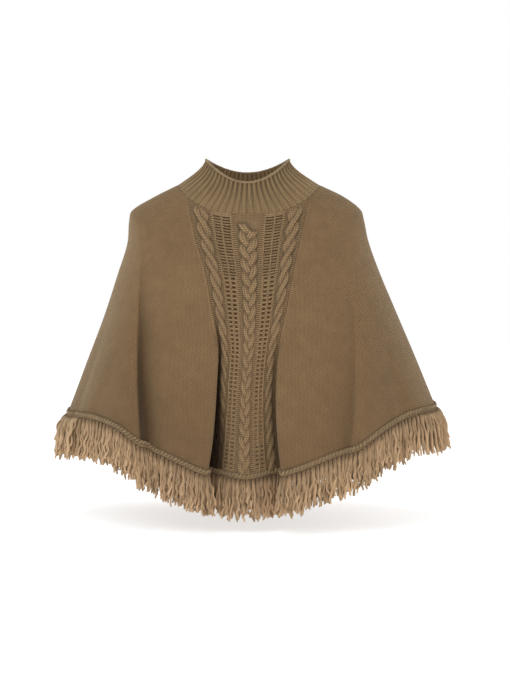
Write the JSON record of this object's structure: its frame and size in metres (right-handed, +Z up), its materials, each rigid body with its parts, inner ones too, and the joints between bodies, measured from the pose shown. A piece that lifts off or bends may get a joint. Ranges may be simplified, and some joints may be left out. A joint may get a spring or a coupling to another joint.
{
  "type": "knitted poncho sweater",
  "caption": "Knitted poncho sweater with a ribbed funnel collar, a cabled front panel between two folded plain panels, and a fringed hem; hollow, held as it is when worn.",
  "frame": {"origin": "between the shoulders at the base of the neck, where the wearer holds the garment", "axes": "+X to the right as seen from the front, -Y the way the front faces, +Z up"},
  "size_m": [0.6932, 0.3818, 0.6187],
  "materials": {
    "stockinette": "soft plain knit",
    "cable_knit": "soft cable knit",
    "ribbing": "soft ribbed knit",
    "hem_band": "soft bound knit edge",
    "fringe_yarn": "loose plied yarn"
  },
  "bodies": {
    "root": {"collar": "ribbing", "front_right": "stockinette", "cable_panel": "cable_knit", "front_left": "stockinette", "back": "stockinette", "hem_band_front": "hem_band", "hem_band_back": "hem_band", "fringe_front_right": "fringe_yarn", "fringe_front_middle": "fringe_yarn", "fringe_front_left": "fringe_yarn", "fringe_back_left": "fringe_yarn", "fringe_back_right": "fringe_yarn"}
  },
  "joints": []
}
